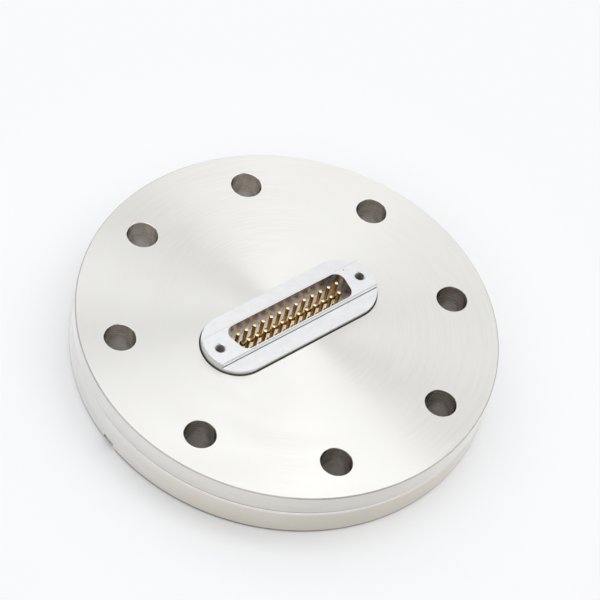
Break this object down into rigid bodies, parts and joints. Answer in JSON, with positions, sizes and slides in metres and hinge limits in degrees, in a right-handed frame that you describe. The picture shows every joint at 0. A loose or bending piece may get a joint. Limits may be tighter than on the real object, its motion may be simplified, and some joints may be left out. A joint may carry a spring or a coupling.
{
  "type": "vacuum feedthrough",
  "caption": "Round steel vacuum flange with a ring of bolt holes and a knife-edge seal, carrying a welded-in D-shaped connector whose gold pins pass through glass.",
  "frame": {"origin": "the middle of the flange's vacuum-side face, which is the lowest plane of the part", "axes": "+Z out of the air side along the flange's axis, +X along the connector, +Y towards its row of thirteen pins"},
  "size_m": [0.1134, 0.1134, 0.0181],
  "materials": {
    "turned_steel": "fine turned, satin",
    "milled_steel": "fine milled, satin",
    "weld_steel": "fused bead",
    "gold_plate": "gold plated, bright",
    "seal_glass": "dark fused glass"
  },
  "bodies": {
    "root": {"flange": "turned_steel", "connector_shell": "milled_steel", "weld_bead": "weld_steel", "pin_01": "gold_plate", "pin_02": "gold_plate", "pin_03": "gold_plate", "pin_04": "gold_plate", "pin_05": "gold_plate", "pin_06": "gold_plate", "pin_07": "gold_plate", "pin_08": "gold_plate", "pin_09": "gold_plate", "pin_10": "gold_plate", "pin_11": "gold_plate", "pin_12": "gold_plate", "pin_13": "gold_plate", "pin_14": "gold_plate", "pin_15": "gold_plate", "pin_16": "gold_plate", "pin_17": "gold_plate", "pin_18": "gold_plate", "pin_19": "gold_plate", "pin_20": "gold_plate", "pin_21": "gold_plate", "pin_22": "gold_plate", "pin_23": "gold_plate", "pin_24": "gold_plate", "pin_25": "gold_plate", "glass_seal_01": "seal_glass", "glass_seal_02": "seal_glass", "glass_seal_03": "seal_glass", "glass_seal_04": "seal_glass", "glass_seal_05": "seal_glass", "glass_seal_06": "seal_glass", "glass_seal_07": "seal_glass", "glass_seal_08": "seal_glass", "glass_seal_09": "seal_glass", "glass_seal_10": "seal_glass", "glass_seal_11": "seal_glass", "glass_seal_12": "seal_glass", "glass_seal_13": "seal_glass", "glass_seal_14": "seal_glass", "glass_seal_15": "seal_glass", "glass_seal_16": "seal_glass", "glass_seal_17": "seal_glass", "glass_seal_18": "seal_glass", "glass_seal_19": "seal_glass", "glass_seal_20": "seal_glass", "glass_seal_21": "seal_glass", "glass_seal_22": "seal_glass", "glass_seal_23": "seal_glass", "glass_seal_24": "seal_glass", "glass_seal_25": "seal_glass"}
  },
  "joints": []
}
